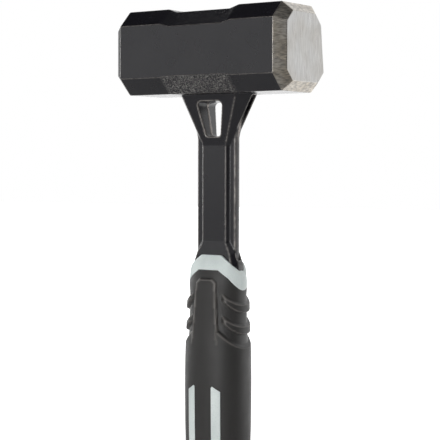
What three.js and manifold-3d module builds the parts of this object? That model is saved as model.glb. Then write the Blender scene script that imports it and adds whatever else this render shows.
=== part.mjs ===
// Club sledge hammer: one steel forging (head, throat, shank and tang) in a moulded handle.
//
// Millimetres, +Z up. The origin is the middle of the butt end. The handle rises along +Z, the head
// lies along X with a striking face at each end, and the broad sides of the handle face -Y and +Y.

import * as THREE from 'three';
import { mergeVertices } from 'three/addons/utils/BufferGeometryUtils.js';
import Module from 'manifold-3d';

const wasm = await Module();
wasm.setup();

// ---------- driving dimensions ----------

const overallLength = 300; // butt end to the top of the head
const clearance = 0.3; // between pieces that touch

// Head: an octagonal bar with ground ends
const headLength = 115.7;
const headWidth = 48; // along Y
const headHeight = 48; // along Z
const headCorner = 9; // chamfer along the four long edges
const faceBevelLength = 5.9; // chamfer round each striking face, along X
const faceBevelInset = 5.2; // the same chamfer, inwards
const waistFloor = 36; // as-forged middle of the head, along X
const waistRamp = 6; // slope at each end of the waist
const waistDepth = 2; // below the ground top face
const waistCornerDepth = 1.1; // below the ground long chamfers

// Shank: a flat flange with a raised pad along each broad side
const flangeWidth = 26.3;
const flangeThickness = 4.6;
const padWidth = 15.9; // flat top of the pad
const shankThickness = 8.8; // over both pads
const padDraft = 0.69; // sideways run of the pad's wall for each millimetre of height

// Throat: the pads open into a Y round a window, and the flange sweeps out to the head
const throatHeight = 28.6; // below the head
const throatWidth = 40; // over the arms, where they meet the head
const throatThickness = 19.2; // where the arms meet the head
const webSweep = 14; // reach of the flange's fillet under the head
const windowTopWidth = 15;
const windowBottomWidth = 9.4;
const windowHeight = 18.8;
const windowBelowHead = 4.8;
const windowCorner = 1.8;
const windowDraft = 0.9; // widening from the middle of the wall to its outer faces

// Shoulder: where the shank spreads to meet the collar
const shoulderWidth = 31.2;
const shoulderHeight = 16.5; // from the start of the spread to the shoulder's foot
const shoulderThickness = 12;

// Handle
const gripLength = 153.2; // butt end to the crest of the soft grip
const gripWidth = 39.2; // at the hand
const gripDepth = 30.6;
const neckWidth = 35; // just below the collar
const neckDepth = 25;
const buttWidth = 42;
const buttDepth = 33;
const buttRound = 4;
const gripWall = 3; // soft layer over the hard core
const gripFloor = 5; // soft layer under the core
const collarHeight = 8.2; // at its crest
const collarTopWidth = 30;
const collarTopDepth = 15.4;
const crestWidth = 13.4; // flat of the wave on the broad sides
const waveDrop = 11.6; // from the crest to the low points at the sides

// Tang and the keys that lock it in the core
const tangWidth = 16;
const tangThickness = 6.4;
const tangEnd = 28; // above the butt end
const keyHole = 8; // diameter
const keyCount = 3;
const keyPitch = 34;
const keyFirst = 46; // above the butt end

// Hanging hole, lined by the soft grip
const hangHole = 8; // diameter
const hangLining = 2;
const hangHeight = 15; // above the butt end

// Light stripes let into the soft layer
const stripeWidth = 5.4;
const stripeSpacing = 16.4; // between the two stripes of a side
const stripeTop = 88.4;
const stripeBottom = 30;
const stripeSlant = 2.8;

// Finger ribs and raised thumb panel near the collar
const ribCount = 2;
const ribPitch = 12.1;
const ribHeight = 4.8;
const ribProud = 1.1;
const ribStart = 21.2; // half way across the broad side to the rib's inner end, doubled
const ribSlope = 0.8; // drop for each millimetre towards the narrow side
const ribBelowCrest = 12.4; // crest of the grip down to the top rib's inner end
const panelWidth = 16;
const panelProud = 0.7;
const panelBelowCrest = 5;
const panelLength = 32;

// ---------- derived places ----------

const headBottom = overallLength - headHeight;
const headMiddle = overallLength - headHeight / 2;
const throatBottom = headBottom - throatHeight;
const collarCrest = gripLength + collarHeight;
const shoulderTop = collarCrest + 7.4;
const shoulderFoot = shoulderTop - shoulderHeight - 3;
const flangeHalf = flangeThickness / 2;
const padHalf = shankThickness / 2;
const reach = Math.max(headLength, headWidth, gripWidth) * 2; // longer than any piece it cuts
const buried = 2; // how far joined volumes run into each other
const stationCount = 27; // rings along the handle
const outerFacets = 40; // round the handle's outside
const innerFacets = 24; // round the hard core

// ---------- geometry helpers ----------

// A closed solid from a three.js geometry
function solid(geometry) {
  const plain = geometry.index ? geometry.toNonIndexed() : geometry.clone();
  plain.deleteAttribute('normal');
  plain.deleteAttribute('uv');
  const merged = mergeVertices(plain, 1e-4);
  return new wasm.Manifold(
    new wasm.Mesh({
      numProp: 3,
      vertProperties: new Float32Array(merged.attributes.position.array),
      triVerts: new Uint32Array(merged.index.array),
    })
  );
}

// A three.js geometry from a solid
function geometryOf(body) {
  const mesh = body.getMesh();
  const geometry = new THREE.BufferGeometry();
  geometry.setAttribute('position', new THREE.BufferAttribute(new Float32Array(mesh.vertProperties), 3));
  geometry.setIndex(new THREE.BufferAttribute(new Uint32Array(mesh.triVerts), 1));
  geometry.computeVertexNormals();
  return geometry;
}

function join(...bodies) {
  return bodies.reduce((whole, body) => whole.add(body));
}

// A closed outline from its right-hand half, top first: [half width, height] pairs
function mirroredShape(half) {
  const left = half.map(([x, z]) => [-x, z]).reverse();
  return new THREE.Shape([...half, ...left].reverse().map(([x, z]) => new THREE.Vector2(x, z)));
}

// An outline in X and Z pushed out along Y, both ways from the middle.
// Past halfDepth it narrows (or, with a negative inset, widens) by inset over the run.
function acrossY(shape, halfDepth, run = 0, inset = 0) {
  const geometry = new THREE.ExtrudeGeometry(shape, {
    depth: 2 * halfDepth,
    bevelEnabled: run > 0,
    bevelThickness: run,
    bevelSize: inset,
    bevelOffset: -inset,
    bevelSegments: 1,
    curveSegments: 8,
  });
  return solid(geometry.translate(0, 0, -halfDepth).rotateX(Math.PI / 2));
}

// An outline in Y and Z pushed out along X, both ways from the middle
function acrossX(shape, halfDepth, run = 0, inset = 0) {
  const geometry = new THREE.ExtrudeGeometry(shape, {
    depth: 2 * halfDepth,
    bevelEnabled: run > 0,
    bevelThickness: run,
    bevelSize: inset,
    bevelOffset: -inset,
    bevelSegments: 1,
  });
  return solid(geometry.translate(0, 0, -halfDepth).rotateY(Math.PI / 2).rotateX(Math.PI / 2));
}

// A round bar along Y
function barAcrossY(radius, halfDepth, x, z) {
  return solid(new THREE.CylinderGeometry(radius, radius, 2 * halfDepth, 32).translate(x, 0, z));
}

// ---------- head ----------

function octagon(width, height, corner) {
  const y = width / 2;
  const z = height / 2;
  const corners = [
    [y - corner, -z],
    [y, -z + corner],
    [y, z - corner],
    [y - corner, z],
    [-y + corner, z],
    [-y, z - corner],
    [-y, -z + corner],
    [-y + corner, -z],
  ];
  return new THREE.Shape(corners.map(([a, b]) => new THREE.Vector2(a, b)));
}

// The prism that relieves one long side of the head's waist: floor at height, sloping ends
function waistCutter(floorHeight) {
  const half = waistFloor / 2;
  const rise = headHeight;
  const slope = waistRamp / waistDepth;
  const outline = mirroredShape([
    [half + rise * slope, floorHeight + rise],
    [half, floorHeight],
  ]);
  return acrossY(outline, reach);
}

function makeHead() {
  const bar = acrossX(
    octagon(headWidth, headHeight, headCorner),
    headLength / 2 - faceBevelLength,
    faceBevelLength,
    faceBevelInset
  );
  const cornerDistance = (headWidth + headHeight) / 2 / Math.SQRT2 - headCorner / Math.SQRT2;
  const cornerCutter = waistCutter(cornerDistance - waistCornerDepth);
  let head = bar.subtract(waistCutter(headHeight / 2 - waistDepth));
  for (const turn of [45, -45, 135, -135]) {
    head = head.subtract(cornerCutter.rotate([turn, 0, 0]));
  }
  return head.translate([0, 0, headMiddle]);
}

// ---------- throat, shank, shoulder and tang ----------

// The flange's outline, swept out under the head and spread at the shoulder
function flangeShape(grow) {
  const half = flangeWidth / 2 + grow;
  const shape = new THREE.Shape();
  const sweepBottom = headBottom - throatHeight * 0.86;
  const foot = shoulderFoot - grow;
  // Control points of the concave sweep
  const lowerBend = [half + webSweep * 0.22, headBottom - throatHeight * 0.4];
  const upperBend = [half + webSweep * 0.25, headBottom - 1.5];
  const tip = [half + webSweep, headBottom];
  shape.moveTo(-half, foot);
  shape.lineTo(half, foot);
  shape.lineTo(half, sweepBottom);
  shape.bezierCurveTo(...lowerBend, ...upperBend, ...tip);
  shape.lineTo(tip[0], headBottom + buried);
  shape.lineTo(-tip[0], headBottom + buried);
  shape.lineTo(-tip[0], headBottom);
  shape.bezierCurveTo(-upperBend[0], upperBend[1], -lowerBend[0], lowerBend[1], -half, sweepBottom);
  shape.lineTo(-half, foot);
  return shape;
}

// Both pads: the outline at the flange's surface, narrowing outwards by the draft
function padBody(grow) {
  const footHalf = padWidth / 2 + (padHalf - flangeHalf) * padDraft + grow;
  const throatFoot = throatWidth / 2 + (throatThickness / 2 - flangeHalf) * padDraft + grow;
  const shoulderHalf = shoulderWidth / 2 + grow;
  const run = throatThickness / 2 - flangeHalf + grow;
  const spare = run * padDraft + buried; // outline that the draft uses up beyond each end
  const outline = mirroredShape([
    [throatFoot, headBottom + spare],
    [throatFoot, headBottom],
    [footHalf, throatBottom],
    [footHalf, shoulderTop],
    [footHalf + (shoulderHalf - footHalf) * 0.6, shoulderTop - shoulderHeight * 0.36],
    [shoulderHalf, shoulderTop - shoulderHeight * 0.76],
    [shoulderHalf, shoulderFoot - spare],
  ]);
  const drafted = acrossY(outline, flangeHalf, run, run * padDraft);
  const side = mirroredShape([
    [throatThickness / 2 + grow, headBottom + buried],
    [throatThickness / 2 + grow, headBottom],
    [padHalf + grow, throatBottom],
    [padHalf + grow, shoulderTop],
    [shoulderThickness / 2 + grow, shoulderTop - shoulderHeight * 0.7],
    [shoulderThickness / 2 + grow, shoulderFoot - grow],
  ]);
  const middle = flangeHalf - clearance - grow;
  const gap = mirroredShape([
    [middle, headBottom - 1],
    [middle, shoulderTop - shoulderHeight * 0.62],
  ]);
  return drafted.intersect(acrossX(side, reach)).subtract(acrossX(gap, reach));
}

// The window through the throat, narrowest at the middle of the wall
function windowBody() {
  const top = headBottom - windowBelowHead;
  const bottom = top - windowHeight;
  const a = windowTopWidth / 2;
  const b = windowBottomWidth / 2;
  const lean = ((a - b) / windowHeight) * windowCorner;
  const shape = new THREE.Shape();
  shape.moveTo(-b + windowCorner, bottom);
  shape.lineTo(b - windowCorner, bottom);
  shape.quadraticCurveTo(b, bottom, b + lean, bottom + windowCorner);
  shape.lineTo(a - lean, top - windowCorner);
  shape.quadraticCurveTo(a, top, a - windowCorner, top);
  shape.lineTo(-a + windowCorner, top);
  shape.quadraticCurveTo(-a, top, -a + lean, top - windowCorner);
  shape.lineTo(-b - lean, bottom + windowCorner);
  shape.quadraticCurveTo(-b, bottom, -b + windowCorner, bottom);
  return acrossY(shape, 0.4, throatThickness / 2 + 1, -windowDraft);
}

const keyHeights = Array.from({ length: keyCount }, (_, i) => keyFirst + i * keyPitch);

function tangBody(grow) {
  const half = tangWidth / 2 + grow;
  const outline = mirroredShape([
    [half, shoulderFoot + buried * 2],
    [half, tangEnd + half - grow],
    [half / 2, tangEnd - grow],
  ]);
  let tang = acrossY(outline, tangThickness / 2 + grow);
  for (const z of keyHeights) {
    tang = tang.subtract(barAcrossY(keyHole / 2 - grow, reach, 0, z));
  }
  return tang;
}

// Everything of the forging below the head. A positive grow gives the pocket that it needs.
function shankBody(grow) {
  const flange = acrossY(flangeShape(grow), flangeHalf + grow);
  return join(flange, padBody(grow), tangBody(grow));
}

// ---------- handle ----------

// Heights and half sizes of the handle's oval from the butt end up
function handleStations() {
  const rows = [];
  const steps = 5;
  for (let i = 0; i <= steps; i++) {
    const angle = (i / steps) * (Math.PI / 2);
    const inset = buttRound * (1 - Math.sin(angle));
    const z = buttRound * (1 - Math.cos(angle));
    rows.push(new THREE.Vector3(buttWidth / 2 - inset, buttDepth / 2 - inset, z));
  }
  const waist = 0.6; // thinning just above the butt's swell
  const swell = new THREE.CatmullRomCurve3([
    new THREE.Vector3(buttWidth / 2, buttDepth / 2, buttRound * 1.6),
    new THREE.Vector3(gripWidth / 2 - waist, gripDepth / 2 - waist, gripLength * 0.22),
    new THREE.Vector3(gripWidth / 2, gripDepth / 2, gripLength * 0.5),
    new THREE.Vector3(gripWidth / 2, gripDepth / 2, gripLength * 0.7),
    new THREE.Vector3((gripWidth + neckWidth) / 4, (gripDepth + neckDepth) / 4, gripLength * 0.765),
    new THREE.Vector3(neckWidth / 2, neckDepth / 2, gripLength * 0.86),
    new THREE.Vector3(neckWidth / 2, neckDepth / 2, gripLength - 4.5),
    new THREE.Vector3(neckWidth / 2 - 0.4, (neckDepth + collarTopDepth) / 4, gripLength + 1.5),
    new THREE.Vector3(collarTopWidth / 2, collarTopDepth / 2, collarCrest),
    new THREE.Vector3(collarTopWidth / 2 - 2, collarTopDepth / 2 - 1.6, collarCrest + 4),
  ]);
  return rows.concat(swell.getPoints(stationCount));
}

const stations = handleStations();

// The handle's outer form, grown by a distance. low is where its underside lies.
function handleForm(grow, low, facets = outerFacets) {
  const rows = stations
    .map((p) => new THREE.Vector3(p.x + grow, p.y + grow, p.z))
    .filter((p) => p.z === low || p.z > low + 0.5);
  if (rows[0].z > low) {
    rows.unshift(new THREE.Vector3(rows[0].x, rows[0].y, low));
  }
  const geometry = new THREE.CylinderGeometry(1, 1, 1, facets, rows.length - 1);
  geometry.rotateX(Math.PI / 2);
  const position = geometry.attributes.position;
  const squareness = 2.25; // 2 would be a plain ellipse
  const bend = (c) => Math.sign(c) * Math.pow(Math.abs(c), 2 / squareness);
  for (let i = 0; i < position.count; i++) {
    const row = rows[Math.round((position.getZ(i) + 0.5) * (rows.length - 1))];
    const size = Math.hypot(position.getX(i), position.getY(i));
    const angle = Math.atan2(position.getY(i), position.getX(i));
    const x = size < 0.5 ? 0 : row.x * bend(Math.cos(angle));
    const y = size < 0.5 ? 0 : row.y * bend(Math.sin(angle));
    position.setXYZ(i, x, y, row.z);
  }
  return solid(geometry);
}

// Everything above the wave that runs round the handle, its crest on the broad sides
function aboveWave(crest) {
  const half = neckWidth / 2;
  const far = reach / 2;
  const shape = new THREE.Shape();
  shape.moveTo(-far, overallLength);
  shape.lineTo(-far, crest - waveDrop);
  shape.lineTo(-half, crest - waveDrop);
  shape.quadraticCurveTo(-half * 0.92, crest - waveDrop * 0.72, -half * 0.72, crest - waveDrop * 0.38);
  shape.lineTo(-crestWidth / 2, crest);
  shape.lineTo(crestWidth / 2, crest);
  shape.lineTo(half * 0.72, crest - waveDrop * 0.38);
  shape.quadraticCurveTo(half * 0.92, crest - waveDrop * 0.72, half, crest - waveDrop);
  shape.lineTo(far, crest - waveDrop);
  shape.lineTo(far, overallLength);
  return acrossY(shape, reach);
}

// Slanting prisms that the finger ribs are cut from, on both narrow sides
function ribPrisms() {
  const inner = ribStart / 2;
  const outer = gripWidth / 2 + 4;
  const prisms = [];
  for (let i = 0; i < ribCount; i++) {
    const top = gripLength - ribBelowCrest - i * ribPitch;
    for (const side of [-1, 1]) {
      const shape = new THREE.Shape();
      shape.moveTo(side * inner, top);
      shape.lineTo(side * outer, top - (outer - inner) * ribSlope);
      shape.lineTo(side * outer, top - (outer - inner) * ribSlope - ribHeight);
      shape.lineTo(side * inner, top - ribHeight);
      prisms.push(acrossY(shape, reach));
    }
  }
  return join(...prisms);
}

// The raised thumb panel's prism, on both broad sides
function panelPrism() {
  const top = gripLength - panelBelowCrest;
  const outline = mirroredShape([
    [panelWidth / 2 - 2.4, top],
    [panelWidth / 2 - 1, top - 2],
    [panelWidth / 2 + 0.8, top - panelLength],
  ]);
  return acrossY(outline, reach);
}

// One stripe's prism through a broad side, made smaller all round by the inset
function stripePrism(side, face, inset) {
  const inner = stripeSpacing / 2 - stripeWidth / 2 + inset;
  const outer = stripeSpacing / 2 + stripeWidth / 2 - inset;
  const shape = new THREE.Shape();
  shape.moveTo(side * inner, stripeBottom + inset);
  shape.lineTo(side * outer, stripeBottom + stripeSlant + inset);
  shape.lineTo(side * outer, stripeTop - stripeSlant - inset);
  shape.lineTo(side * inner, stripeTop - inset);
  const half = buttDepth / 2;
  return acrossY(shape, half).translate([0, face * half, 0]);
}

const sides = [
  { name: 'left', side: -1 },
  { name: 'right', side: 1 },
];
const faces = [
  { name: 'front', face: -1 },
  { name: 'back', face: 1 },
];

const shankPocket = shankBody(clearance);
const outerForm = handleForm(0, 0);
const cavityForm = handleForm(-gripWall, gripFloor, innerFacets);
const coreForm = handleForm(-gripWall - clearance, gripFloor + clearance, innerFacets);
const hangBore = barAcrossY(hangHole / 2, reach, 0, hangHeight);

function makeForging() {
  return join(makeHead(), shankBody(0)).subtract(windowBody());
}

function makeCore() {
  const liningHole = barAcrossY(hangHole / 2 + hangLining + clearance, reach, 0, hangHeight);
  return coreForm
    .subtract(aboveWave(gripLength - clearance))
    .subtract(shankPocket)
    .subtract(liningHole);
}

function makeCollar() {
  return outerForm
    .intersect(aboveWave(gripLength))
    .subtract(aboveWave(collarCrest))
    .subtract(shankPocket);
}

function makeOuterGrip() {
  const raised = join(
    outerForm,
    handleForm(ribProud, 0).intersect(ribPrisms()),
    handleForm(panelProud, 0).intersect(panelPrism())
  );
  const lining = barAcrossY(hangHole / 2 + hangLining, reach, 0, hangHeight).intersect(outerForm);
  let grip = raised.subtract(aboveWave(gripLength - clearance)).subtract(cavityForm);
  grip = grip.subtract(shankPocket).add(lining).subtract(hangBore);
  for (const { side } of sides) {
    for (const { face } of faces) {
      grip = grip.subtract(stripePrism(side, face, 0));
    }
  }
  return grip;
}

function makeStripe(side, face) {
  return outerForm.subtract(cavityForm).intersect(stripePrism(side, face, clearance));
}

// ---------- materials and assembly ----------

function finish(color, roughness, metalness) {
  return new THREE.MeshStandardMaterial({ color, roughness, metalness });
}

const hammer = new THREE.Group();

function addPiece(name, body, material) {
  const mesh = new THREE.Mesh(geometryOf(body), material);
  mesh.name = name;
  hammer.add(mesh);
}

addPiece('forged_head_and_shank', makeForging(), finish(0x3e3c40, 0.4, 0.6));
addPiece('tang_core', makeCore(), finish(0x55595a, 0.6, 0));
addPiece('collar', makeCollar(), finish(0xc8d2d2, 0.5, 0));
addPiece('outer_grip', makeOuterGrip(), finish(0x2c2b2a, 0.75, 0));
for (const { name: sideName, side } of sides) {
  for (const { name: faceName, face } of faces) {
    addPiece(`stripe_${faceName}_${sideName}`, makeStripe(side, face), finish(0xbcc4c2, 0.5, 0));
  }
}

export default hammer;
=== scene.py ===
"""A short-handled sledgehammer: one steel forging in a two-colour moulded handle.

Every mesh is modelled in millimetres where it belongs on the hammer and brought to metres at the end.
The handle rises along +Z from its butt end, the head lies along X and the broad sides face -Y and +Y.
"""

import logging
import math
from dataclasses import dataclass
from enum import Enum
from typing import Iterable, Sequence

import bmesh
import bpy
import numpy as np
from mathutils import Matrix, Vector


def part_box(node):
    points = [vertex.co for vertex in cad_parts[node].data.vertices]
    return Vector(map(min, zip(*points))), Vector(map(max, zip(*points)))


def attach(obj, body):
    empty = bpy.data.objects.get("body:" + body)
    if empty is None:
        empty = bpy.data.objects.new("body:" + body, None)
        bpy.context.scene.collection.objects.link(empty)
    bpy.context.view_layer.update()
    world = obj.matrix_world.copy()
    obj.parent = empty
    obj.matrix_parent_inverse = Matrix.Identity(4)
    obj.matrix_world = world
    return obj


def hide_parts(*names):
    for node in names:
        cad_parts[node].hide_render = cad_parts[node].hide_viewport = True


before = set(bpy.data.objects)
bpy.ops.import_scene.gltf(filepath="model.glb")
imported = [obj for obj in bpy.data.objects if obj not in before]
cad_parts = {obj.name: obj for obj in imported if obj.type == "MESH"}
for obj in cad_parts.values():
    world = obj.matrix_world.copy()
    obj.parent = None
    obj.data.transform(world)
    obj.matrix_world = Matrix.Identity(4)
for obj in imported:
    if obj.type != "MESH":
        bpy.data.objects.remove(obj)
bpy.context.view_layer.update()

MM = 0.001
BODY = "root"
# Painted highlights on the paint and on the soft grip follow this attribute
EDGE_HIGHLIGHT = "edge_highlight"  # attribute that holds how far each point stands out
CAD_GAP = 0.3  # mm that the CAD leaves between pieces
REACH = 60.0  # mm, half the length of a solid that cuts right through the hammer
Outline = Sequence[tuple[float, float]]

log = logging.getLogger("sledgehammer")


# ---------------------------------------------------------------- small helpers


def corners_mm(node: str) -> tuple[Vector, Vector]:
    """The lowest and highest corner of a CAD node in millimetres.

    Args:
        node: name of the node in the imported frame.

    Returns:
        The two corners.
    """
    low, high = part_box(node)
    return Vector(low) / MM, Vector(high) / MM


def smooth_step(low: float, high: float, value: np.ndarray) -> np.ndarray:
    """Rises smoothly from 0 at low to 1 at high.

    Args:
        low: where the rise starts.
        high: where it ends; it may lie below low, which turns the rise round.
        value: the values to map.

    Returns:
        An array of the same shape, between 0 and 1.
    """
    t = np.clip((np.asarray(value, float) - low) / (high - low), 0.0, 1.0)
    return t * t * (3.0 - 2.0 * t)


def mirrored(half: Outline) -> list[tuple[float, float]]:
    """A closed outline from its right-hand half.

    Args:
        half: points of the right-hand half, from the top down.

    Returns:
        The points of the whole outline in order.
    """
    return list(half) + [(-x, z) for x, z in reversed(half)]


def arc(
    centre: tuple[float, float], radii: tuple[float, float], start: float, end: float, steps: int
) -> list[tuple[float, float]]:
    """Points along an arc of a circle or an ellipse.

    Args:
        centre: the arc's centre.
        radii: half sizes along the first and second axes.
        start: first angle in degrees.
        end: last angle in degrees.
        steps: how many chords the arc has.

    Returns:
        steps + 1 points.
    """
    angles = [math.radians(start + (end - start) * i / steps) for i in range(steps + 1)]
    return [(centre[0] + radii[0] * math.cos(a), centre[1] + radii[1] * math.sin(a)) for a in angles]


class Join(Enum):
    """What a boolean keeps of two solids."""

    UNION = "UNION"
    CUT = "DIFFERENCE"
    COMMON = "INTERSECT"


class Lie(Enum):
    """The plane an outline is drawn in: its two axes, then the axis that a prism runs along."""

    FRONT = (0, 2, 1)
    SIDE = (1, 2, 0)

    def point(self, across: float, up: float, deep: float) -> Vector:
        """A point from its place in the outline and its depth.

        Args:
            across: distance along the outline's first axis.
            up: distance along its second axis.
            deep: distance along the prism's axis.

        Returns:
            The point.
        """
        point = Vector((0.0, 0.0, 0.0))
        for axis, value in zip(self.value, (across, up, deep)):
            point[axis] = value
        return point


def new_object(bm: bmesh.types.BMesh, name: str) -> bpy.types.Object:
    """Turns a bmesh into an object of the scene and frees the bmesh.

    Args:
        bm: the finished bmesh, in millimetres.
        name: the object's name.

    Returns:
        The new object, at the origin.
    """
    mesh = bpy.data.meshes.new(name)
    bm.to_mesh(mesh)
    bm.free()
    obj = bpy.data.objects.new(name, mesh)
    bpy.context.scene.collection.objects.link(obj)
    return obj


def discard(obj: bpy.types.Object) -> None:
    """Removes an object and its mesh.

    Args:
        obj: the object to remove.
    """
    mesh = obj.data
    bpy.data.objects.remove(obj)
    bpy.data.meshes.remove(mesh)


def bake_modifiers(obj: bpy.types.Object) -> None:
    """Applies every modifier of an object to its mesh.

    Args:
        obj: the object, which gets a new mesh.
    """
    depsgraph = bpy.context.evaluated_depsgraph_get()
    mesh = bpy.data.meshes.new_from_object(obj.evaluated_get(depsgraph))
    old = obj.data
    obj.modifiers.clear()
    obj.data = mesh
    bpy.data.meshes.remove(old)


def combine(
    base: bpy.types.Object, other: bpy.types.Object, how: Join, keep: bool = False
) -> bpy.types.Object:
    """Joins, cuts or crosses two solids and keeps the result in the first.

    Args:
        base: the object that takes the result.
        other: the second solid.
        how: which part is kept.
        keep: leave the second solid in place for another use.

    Returns:
        The first object.
    """
    modifier = base.modifiers.new("Boolean", "BOOLEAN")
    modifier.object = other
    modifier.operation = how.value
    modifier.solver = "MANIFOLD"
    bake_modifiers(base)
    if not keep:
        discard(other)
    return base


def prism(
    outline: Outline, lie: Lie, half: float, run: float = 0.0, inset: float = 0.0
) -> bpy.types.Object:
    """A solid with one outline, equal both ways from the middle, whose walls may have draft.

    Args:
        outline: points in the plane that lie names.
        lie: the outline's plane.
        half: half the straight part's length along the third axis.
        run: length of the drafted part beyond it, at each end.
        inset: how far the outline shrinks over that run; below 0 it grows.

    Returns:
        A new object.
    """
    bm = bmesh.new()
    step = lie.point(0, 0, 2 * half)
    first = bm.faces.new([bm.verts.new(lie.point(a, b, -half)) for a, b in outline])
    grown = bmesh.ops.extrude_face_region(bm, geom=[first])["geom"]
    bmesh.ops.translate(bm, verts=[v for v in grown if isinstance(v, bmesh.types.BMVert)], vec=step)
    bmesh.ops.recalc_face_normals(bm, faces=bm.faces)
    if run > 0:
        axis = step.normalized()
        for end in [f for f in bm.faces if abs(f.normal.dot(axis)) > 0.999]:
            outward = axis * run * math.copysign(1.0, end.normal.dot(axis))
            grown = bmesh.ops.extrude_face_region(bm, geom=[end])["geom"]
            cap = next(f for f in grown if isinstance(f, bmesh.types.BMFace))
            bmesh.ops.delete(bm, geom=[end], context="FACES_ONLY")
            shrink_cap(cap, outline, lie, inset)
            bmesh.ops.translate(bm, verts=list(cap.verts), vec=outward)
        bmesh.ops.recalc_face_normals(bm, faces=bm.faces)
    return new_object(bm, "prism")


def shrink_cap(cap: bmesh.types.BMFace, outline: Outline, lie: Lie, inset: float) -> None:
    """Moves a cap's corners inwards by the same distance from every side.

    Args:
        cap: the face at a prism's end.
        outline: the outline that the cap was made from.
        lie: the outline's plane.
        inset: the distance, below 0 to grow.
    """
    points = [Vector(p) for p in outline]
    area = sum(a.x * b.y - b.x * a.y for a, b in zip(points, points[1:] + points[:1]))
    turn = math.copysign(1.0, area)
    moves = {}
    for i, here in enumerate(points):
        before = (here - points[i - 1]).normalized()
        after = (points[(i + 1) % len(points)] - here).normalized()
        inward = [Vector((-d.y, d.x)) * turn for d in (before, after)]
        middle = inward[0] + inward[1]
        moves[(round(here.x, 4), round(here.y, 4))] = middle * (inset / (0.5 * middle.length_squared))
    across, up = lie.value[:2]
    for vert in cap.verts:
        move = moves[(round(vert.co[across], 4), round(vert.co[up], 4))]
        vert.co[across] += move.x
        vert.co[up] += move.y


def remesh(obj: bpy.types.Object, voxel: float, passes: int) -> bpy.types.Object:
    """Turns a solid into an even mesh and softens its edges, as a forging die does.

    Args:
        obj: a closed solid.
        voxel: edge length of the new mesh in millimetres.
        passes: how often each point moves half way to its neighbours.

    Returns:
        The same object.
    """
    modifier = obj.modifiers.new("Voxels", "REMESH")
    modifier.mode = "VOXEL"
    modifier.voxel_size = voxel
    bake_modifiers(obj)
    bm = bmesh.new()
    bm.from_mesh(obj.data)
    for _ in range(passes):
        bmesh.ops.smooth_vert(
            bm, verts=bm.verts, factor=0.5, use_axis_x=True, use_axis_y=True, use_axis_z=True
        )
    bm.to_mesh(obj.data)
    bm.free()
    return obj


def mark_edges(obj: bpy.types.Object) -> bpy.types.Object:
    """Stores how far each point of a solid stands out: 0 on flats and in hollows, 1 on an edge.

    Args:
        obj: the solid.

    Returns:
        The same object.
    """
    broad = 0.8  # mm: points beside wider faces lie on a flat
    least, full = 0.045, 0.105  # mean fall to the neighbours where an edge begins and where it is sharp
    lift = 1.3  # makes up for what the averaging takes off the crest
    bm = bmesh.new()
    bm.from_mesh(obj.data)
    bm.normal_update()
    layer = bm.verts.layers.float.new(EDGE_HIGHLIGHT)
    for vert in bm.verts:
        widths = [f.calc_area() / max(e.calc_length() for e in f.edges) for f in vert.link_faces]
        if max(widths) > broad:
            continue
        falls = [(vert.co - e.other_vert(vert).co).normalized().dot(vert.normal) for e in vert.link_edges]
        vert[layer] = min(max((sum(falls) / len(falls) - least) / (full - least), 0.0), 1.0)
    for _ in range(2):
        means = [
            sum((e.other_vert(v)[layer] for e in v.link_edges), v[layer]) / (len(v.link_edges) + 1)
            for v in bm.verts
        ]
        for vert, mean in zip(bm.verts, means):
            if vert[layer] > 0 or all(f.calc_area() < 1 for f in vert.link_faces):
                vert[layer] = min(mean * lift, 1.0)
    bm.to_mesh(obj.data)
    bm.free()
    return obj


def dress(obj: bpy.types.Object, *materials: bpy.types.Material) -> bpy.types.Object:
    """Gives a solid its materials in place of any that it has.

    Args:
        obj: the solid.
        materials: the materials in slot order.

    Returns:
        The same object.
    """
    # Clearing also sets every face to the first slot, so a mesh with no slots yet keeps its faces' slots
    if obj.data.materials:
        obj.data.materials.clear()
    for material in materials:
        obj.data.materials.append(material)
    return obj


def deliver(
    obj: bpy.types.Object,
    name: str,
    nodes: Iterable[str],
    sharp: float = 38.0,
) -> bpy.types.Object:
    """Brings a finished solid to metres and hands it to the frame.

    Args:
        obj: the solid, in millimetres.
        name: the piece's name.
        nodes: CAD nodes that it stands for.
        sharp: edges steeper than this many degrees stay sharp.

    Returns:
        The same object.
    """
    obj.name = name
    obj.data.transform(Matrix.Scale(MM, 4))
    obj.data.shade_smooth()
    obj.data.set_sharp_from_angle(angle=math.radians(sharp))
    # Normals weighted by area keep the broad flats flat beside their rounded edges
    weighting = obj.modifiers.new("Normals", "WEIGHTED_NORMAL")
    weighting.keep_sharp = True
    bake_modifiers(obj)
    obj.data.name = name
    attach(obj, BODY)
    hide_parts(*nodes)
    log.info("%s: %d faces", name, len(obj.data.polygons))
    return obj


# ---------------------------------------------------------------- material helpers


def linear(code: str) -> tuple[float, float, float, float]:
    """A six-digit sRGB hex colour as linear values with an alpha of 1."""
    channels = [int(code[i : i + 2], 16) / 255 for i in (0, 2, 4)]
    return (*[c / 12.92 if c <= 0.04045 else ((c + 0.055) / 1.055) ** 2.4 for c in channels], 1.0)


def add_node(
    tree: bpy.types.NodeTree, kind: str, inputs: dict | None = None, **settings: object
) -> bpy.types.Node:
    """Adds a shader node with its settings, input values and links.

    Args:
        tree: the tree that gets the node.
        kind: the node's type, without the word ShaderNode that all of them start with.
        inputs: socket name or number to a value, to an output that feeds it, or to a node whose first
            output in use feeds it.
        settings: properties of the node.

    Returns:
        The node.
    """
    node = tree.nodes.new(f"ShaderNode{kind}")
    for key, value in settings.items():
        setattr(node, key, value)
    for key, value in (inputs or {}).items():
        socket = node.inputs[key]
        if isinstance(key, str):
            socket = next(s for s in node.inputs if s.enabled and s.name == key)
        if isinstance(value, bpy.types.Node):
            value = next(s for s in value.outputs if s.enabled)
        if isinstance(value, bpy.types.NodeSocket):
            tree.links.new(value, socket)
        else:
            socket.default_value = value
    return node


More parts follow.
